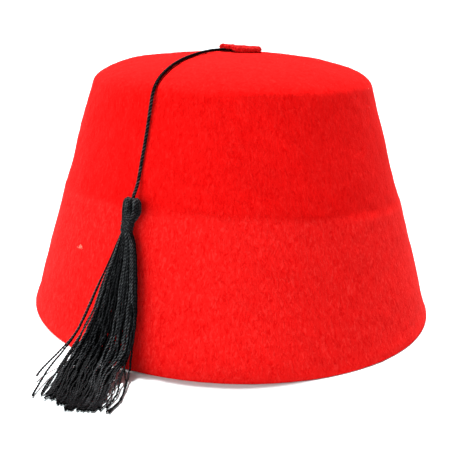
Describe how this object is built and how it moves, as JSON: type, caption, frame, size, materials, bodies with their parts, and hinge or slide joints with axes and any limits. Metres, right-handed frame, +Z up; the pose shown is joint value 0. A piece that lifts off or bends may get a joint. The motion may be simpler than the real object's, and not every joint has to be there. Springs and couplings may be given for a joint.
{
  "type": "fez hat",
  "caption": "Red felt fez, a tapered hollow crown with a rounded shoulder and open rim, a felt patch on top and a black thread tassel hanging from it on a thin cord.",
  "frame": {"origin": "middle of the rim, on the surface that the hat rests on", "axes": "+Z up through the crown, -Y the front, +X to the right as seen from the front; the rim's longer way is near Y"},
  "size_m": [0.1842, 0.217, 0.1174],
  "materials": {
    "red_felt": "matt pressed felt with a short nap",
    "patch_felt": "matt felt with cut, fuzzy edges",
    "black_cord": "satin twisted cord",
    "black_thread": "satin thread",
    "black_binding": "satin wound thread",
    "black_fringe": "satin twisted strands"
  },
  "bodies": {
    "root": {"felt_crown": "red_felt", "top_patch": "patch_felt", "tassel_cord": "black_cord", "tassel_head": "black_thread", "neck_binding": "black_binding", "tassel_fringe": "black_fringe"}
  },
  "joints": []
}
